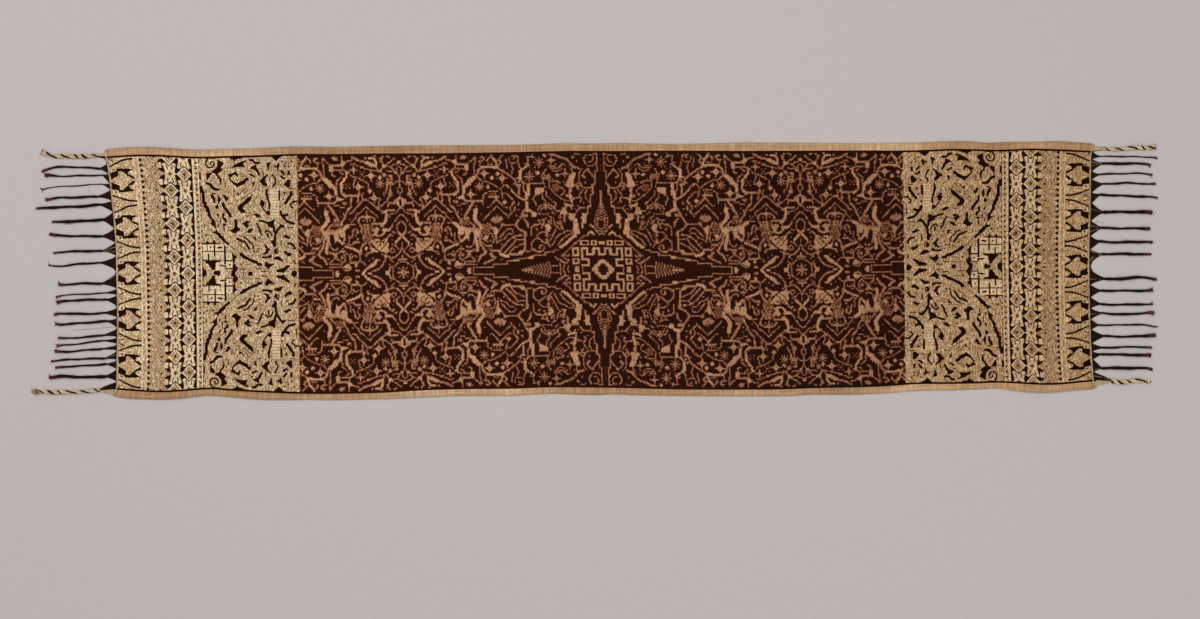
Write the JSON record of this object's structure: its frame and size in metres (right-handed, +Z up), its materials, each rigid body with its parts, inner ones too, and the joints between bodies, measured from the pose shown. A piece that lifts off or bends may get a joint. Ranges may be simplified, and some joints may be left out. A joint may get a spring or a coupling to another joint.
{
  "type": "ikat woven cloth",
  "caption": "Long narrow ceremonial cloth with a dark star-and-figure ikat field, gold-worked ends, plain selvedge bands and twisted tassel fringes, laid flat.",
  "frame": {"origin": "centre of the whole cloth's bounding box, fringes included, on the surface it lies on", "axes": "+X along the cloth's length, +Y across its width, +Z up from the surface through the face that shows"},
  "size_m": [2.3244, 0.535, 0.0119],
  "materials": {
    "woven_ikat": "matte handspun cotton, dark brown-black and tan, with dull gold thread at both ends",
    "warp_ends": "matte twisted cotton, near black with reddish tips"
  },
  "bodies": {
    "root": {"cloth": "woven_ikat", "fringe_west": "warp_ends", "fringe_east": "warp_ends"}
  },
  "joints": []
}
